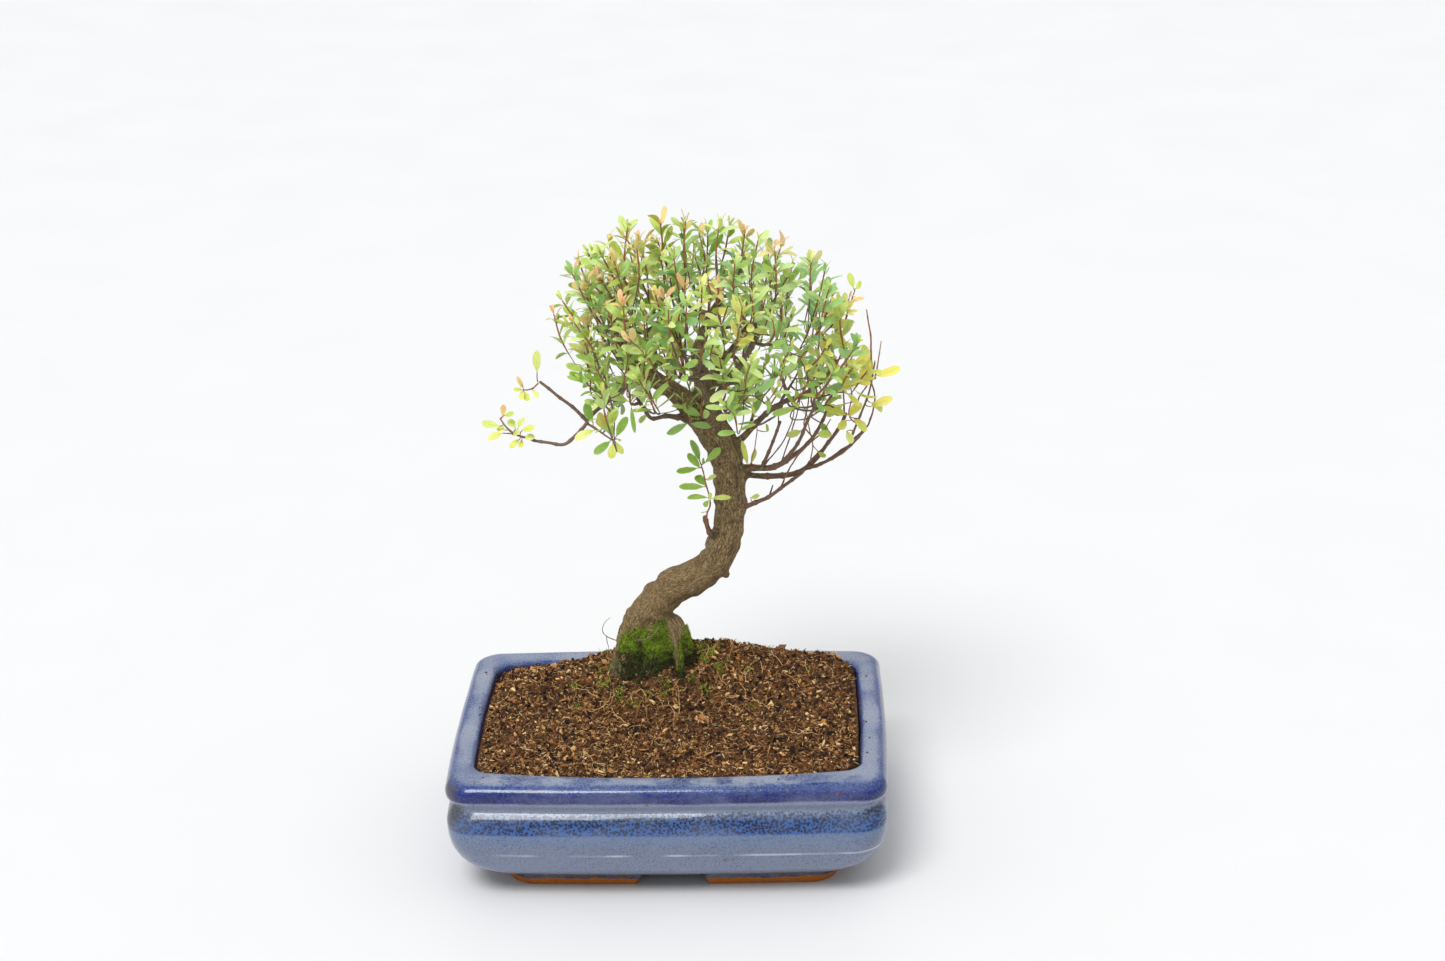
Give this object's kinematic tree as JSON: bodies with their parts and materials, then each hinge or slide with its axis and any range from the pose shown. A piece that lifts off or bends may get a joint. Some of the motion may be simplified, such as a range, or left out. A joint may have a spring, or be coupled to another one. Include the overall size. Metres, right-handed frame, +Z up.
{
  "type": "bonsai tree in a pot",
  "caption": "Small bonsai with a curved trunk, a domed crown of small leaves and bare side twigs, growing from mossy soil in a glazed rectangular footed pot.",
  "frame": {"origin": "middle of the pot's footprint, on the surface it stands on", "axes": "+X along the pot's length, +Y towards its back, +Z up"},
  "size_m": [0.2026, 0.1588, 0.3074],
  "materials": {
    "glaze": "glossy mottled blue glaze, bare brown clay under the feet",
    "soil": "loose fibrous potting soil, matt",
    "bark": "rough grey-brown bark",
    "moss": "soft living moss, matt",
    "mesh_plastic": "woven plastic drainage mesh",
    "leaves": "thin smooth leaves, yellow-green to blue-green"
  },
  "bodies": {
    "root": {"pot": "glaze", "soil": "soil", "tree_wood": "bark", "moss": "moss", "drain_mesh_left": "mesh_plastic", "drain_mesh_right": "mesh_plastic", "foliage_low_back_01": "leaves", "foliage_low_back_02": "leaves", "foliage_low_back_03": "leaves", "foliage_low_back_04": "leaves", "foliage_low_front_01": "leaves", "foliage_low_left_01": "leaves", "foliage_low_right_01": "leaves", "foliage_mid_back_01": "leaves", "foliage_mid_back_02": "leaves", "foliage_mid_back_03": "leaves", "foliage_mid_back_04": "leaves", "foliage_mid_front_01": "leaves", "foliage_mid_front_02": "leaves", "foliage_mid_front_03": "leaves", "foliage_mid_front_04": "leaves", "foliage_mid_front_05": "leaves", "foliage_mid_front_06": "leaves", "foliage_mid_front_07": "leaves", "foliage_mid_left_01": "leaves", "foliage_mid_left_02": "leaves", "foliage_mid_left_03": "leaves", "foliage_mid_left_04": "leaves", "foliage_mid_left_05": "leaves", "foliage_mid_left_06": "leaves", "foliage_mid_left_07": "leaves", "foliage_mid_left_08": "leaves", "foliage_mid_right_01": "leaves", "foliage_mid_right_02": "leaves", "foliage_mid_right_03": "leaves", "foliage_mid_right_04": "leaves", "foliage_mid_right_05": "leaves", "foliage_top_centre_01": "leaves", "foliage_top_centre_02": "leaves", "foliage_top_centre_03": "leaves", "foliage_top_centre_04": "leaves", "foliage_top_centre_05": "leaves", "foliage_top_left_01": "leaves", "foliage_top_left_02": "leaves", "foliage_top_right_01": "leaves", "foliage_trunk_sprig": "leaves", "foliage_whip_tip": "leaves", "foliage_whip_middle": "leaves", "foliage_whip_twig": "leaves"}
  },
  "joints": []
}
